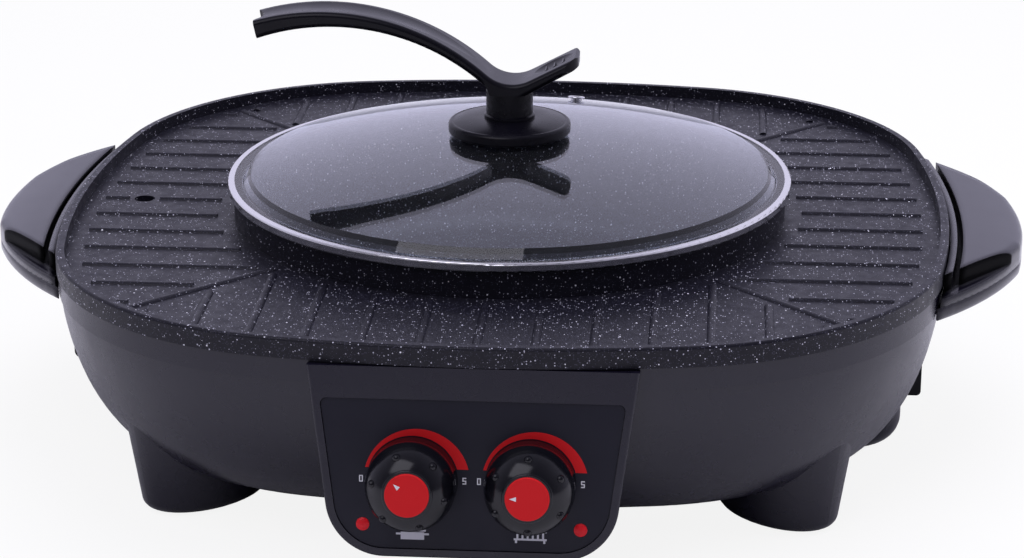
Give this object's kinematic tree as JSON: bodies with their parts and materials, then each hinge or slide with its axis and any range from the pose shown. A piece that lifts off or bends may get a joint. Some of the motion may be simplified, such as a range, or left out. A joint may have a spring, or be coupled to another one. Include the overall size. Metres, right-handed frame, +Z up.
{
  "type": "electric hot pot with grill plate",
  "caption": "Countertop electric hot pot: a rounded square grill pan with a central pot, a domed glass lid with a standing handle, side handles and two heat dials.",
  "frame": {"origin": "on the table surface, under the middle of the appliance's overall box; the axis of the pot and lid is at X = 0, Y = 0.0174 m", "axes": "+Z up; +X to the right of someone who faces the dials, through the two side handles; +Y from the dials to the back"},
  "size_m": [0.544, 0.4998, 0.2212],
  "materials": {
    "base_plastic": "satin moulded",
    "pan_coating": "non-stick coating with fine speckles",
    "handle_gloss": "high gloss",
    "panel_gloss": "semi-gloss",
    "knob_black": "semi-gloss",
    "cap_red": "satin",
    "lamp_red": "translucent",
    "lid_glass": "clear, slightly grey",
    "rim_steel": "polished",
    "screw_steel": "zinc plated",
    "element_steel": "heat-darkened",
    "shield_aluminium": "mill finish",
    "grip_plastic": "satin",
    "vent_steel": "polished",
    "rubber_black": "matt",
    "silicone": "matt",
    "inlet_plastic": "matt",
    "pin_brass": "plated",
    "switch_ceramic": "matt",
    "cover_plastic": "matt"
  },
  "bodies": {
    "base": {"base_shell": "base_plastic", "cup_guide": "cover_plastic", "rubber_feet": "rubber_black", "bottom_cover": "cover_plastic", "cover_screws": "screw_steel", "heat_shield": "shield_aluminium", "shield_screws": "screw_steel", "pot_heating_element": "element_steel", "grill_heating_element": "element_steel", "element_supports": "shield_aluminium", "control_box": "base_plastic", "control_panel": "panel_gloss", "power_inlet": "inlet_plastic", "inlet_pins": "pin_brass", "terminal_block": "switch_ceramic", "handle_screws": "screw_steel", "thermostat_left": "switch_ceramic", "thermostat_right": "switch_ceramic", "indicator_lamp_left": "lamp_red", "indicator_lamp_right": "lamp_red", "handle_cover_left": "handle_gloss", "handle_cover_right": "handle_gloss", "handle_tray_left": "handle_gloss", "handle_tray_right": "handle_gloss"},
    "pan": {"grill_pan": "pan_coating"},
    "lid": {"lid_glass": "lid_glass", "lid_rim": "rim_steel", "steam_vent": "vent_steel", "lid_gasket": "silicone", "lid_knob": "grip_plastic", "lid_handle": "grip_plastic", "lid_washer": "screw_steel", "lid_screw": "screw_steel"},
    "left_knob": {"knob_left": "knob_black", "knob_cap_left": "cap_red", "knob_shaft_left": "screw_steel"},
    "right_knob": {"knob_right": "knob_black", "knob_cap_right": "cap_red", "knob_shaft_right": "screw_steel"},
    "drip_cup": {"drip_cup": "inlet_plastic"}
  },
  "joints": [
    {"name": "pan_lift", "type": "slide", "parent": "base", "child": "pan", "axis": [0, 0, 1], "range_m": [0, 0.15]},
    {"name": "lid_lift", "type": "slide", "parent": "pan", "child": "lid", "axis": [0, 0, 1], "range_m": [0, 0.2]},
    {"name": "left_knob_turn", "type": "hinge", "parent": "base", "child": "left_knob", "pos_m": [-0.0276, -0.22166, 0.05503], "axis": [0, -0.99, 0.1409], "range_deg": [-138, 42]},
    {"name": "right_knob_turn", "type": "hinge", "parent": "base", "child": "right_knob", "pos_m": [0.0276, -0.22166, 0.05503], "axis": [0, -0.99, 0.1409], "range_deg": [-180, 0]},
    {"name": "drip_cup_slide", "type": "slide", "parent": "base", "child": "drip_cup", "axis": [-1, 0, 0], "range_m": [0, 0.09]}
  ]
}
